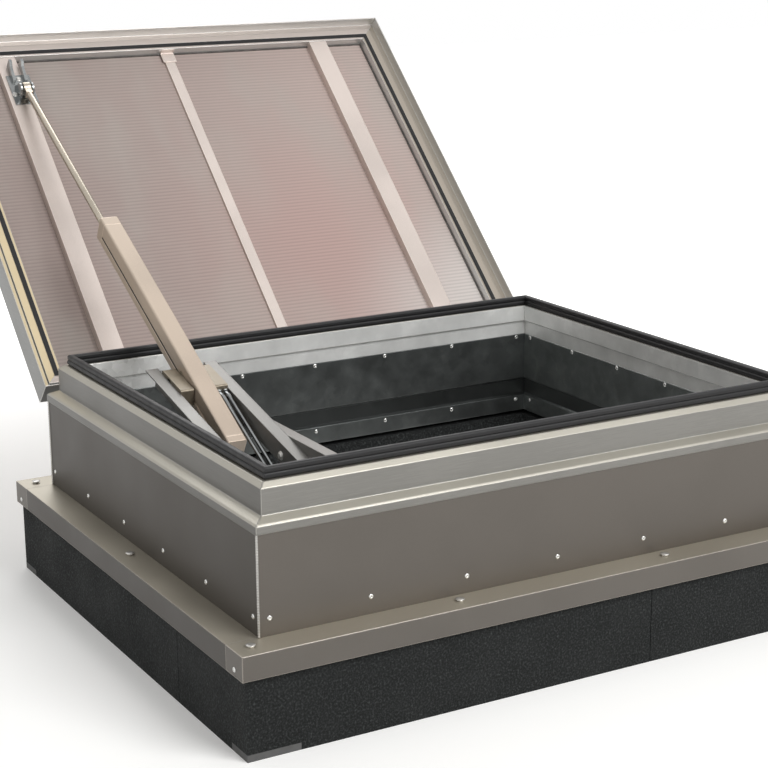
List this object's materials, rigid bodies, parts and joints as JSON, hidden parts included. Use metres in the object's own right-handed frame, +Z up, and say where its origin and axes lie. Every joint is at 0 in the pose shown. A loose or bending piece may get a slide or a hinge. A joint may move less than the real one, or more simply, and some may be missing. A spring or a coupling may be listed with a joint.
{
  "type": "roof hatch",
  "caption": "Flat-roof hatch on an insulated curb with black plinth, ribbed clear lid on a rear hinge and a pneumatic cylinder that opens it",
  "frame": {"origin": "centre of the curb in plan, at the underside of the plinth", "axes": "X to the right along the hinge line, Y from the front to the hinged back, Z up"},
  "size_m": [1.324, 1.8146, 1.0697],
  "materials": {
    "black_felt": "matt mineral felt",
    "grey_board": "matt board",
    "galvanised": "spangled zinc, semi-matt",
    "weld_grey": "dull weld metal",
    "mill_aluminium": "mill finish, faint lengthwise grain",
    "black_rubber": "matt rubber",
    "mineral_wool": "matt fibre",
    "bright_steel": "zinc plated",
    "cast_block": "yellow passivated, satin",
    "clear_panel": "clear ribbed polycarbonate",
    "rod_chrome": "ground and hard plated",
    "piston_black": "matt"
  },
  "bodies": {
    "curb": {"plinth_front_long": "black_felt", "plinth_front_short": "black_felt", "plinth_back": "black_felt", "plinth_left_short": "black_felt", "plinth_left_long": "black_felt", "plinth_right": "black_felt", "corner_packers": "grey_board", "wall_front": "galvanised", "wall_right": "galvanised", "wall_back": "galvanised", "wall_left": "galvanised", "base_flange_front": "galvanised", "base_flange_right": "galvanised", "base_flange_back": "galvanised", "base_flange_left": "galvanised", "lining_front": "galvanised", "lining_right": "galvanised", "lining_back": "galvanised", "lining_left": "galvanised", "console_rail_left": "galvanised", "console_rail_right": "galvanised", "carrier_left": "galvanised", "carrier_right": "galvanised", "corner_welds": "weld_grey", "top_frame_front": "mill_aluminium", "top_frame_right": "mill_aluminium", "top_frame_back": "mill_aluminium", "top_frame_left": "mill_aluminium", "curb_seal": "black_rubber", "insulation": "mineral_wool", "rivets": "bright_steel", "flange_screws": "bright_steel", "hinge_curb_leaves": "bright_steel", "hinge_pins": "bright_steel", "console_bolts": "bright_steel", "air_pipes": "bright_steel", "trunnion_block_left": "cast_block", "trunnion_block_right": "cast_block"},
    "lid": {"lid_rail_front": "mill_aluminium", "lid_rail_right": "mill_aluminium", "lid_rail_back": "mill_aluminium", "lid_rail_left": "mill_aluminium", "lid_seal": "black_rubber", "glazing_strip": "black_rubber", "lid_panel": "clear_panel", "stiffener_left": "mill_aluminium", "stiffener_right": "mill_aluminium", "centre_bar": "mill_aluminium", "bar_clip": "bright_steel", "lock_bracket": "cast_block", "bracket_bolts": "bright_steel", "hinge_lid_leaves": "bright_steel"},
    "cylinder": {"cylinder_tube": "mill_aluminium", "cylinder_head": "mill_aluminium", "cylinder_tail": "mill_aluminium", "trunnion_pins": "cast_block", "slot_covers": "black_rubber"},
    "rod": {"piston": "piston_black", "piston_rod": "rod_chrome", "rod_eye": "rod_chrome"}
  },
  "joints": [
    {"name": "lid_hinge", "type": "hinge", "parent": "curb", "child": "lid", "pos_m": [0, 0.4885, 0.4225], "axis": [1, 0, 0], "range_deg": [0, 136.7]},
    {"name": "cylinder_pivot", "type": "hinge", "parent": "curb", "child": "cylinder", "pos_m": [-0.402, 0.2, 0.455], "axis": [1, 0, 0], "range_deg": [0, 151.07]},
    {"name": "rod_slide", "type": "slide", "parent": "cylinder", "child": "rod", "axis": [0, 0.8742, 0.4856], "range_m": [-0.5079, 0]}
  ],
  "couplings": [
    {"joint": "cylinder_pivot", "follows": "lid_hinge", "ratio": 1.1051},
    {"joint": "rod_slide", "follows": "lid_hinge", "m_per_rad": -0.21284}
  ]
}
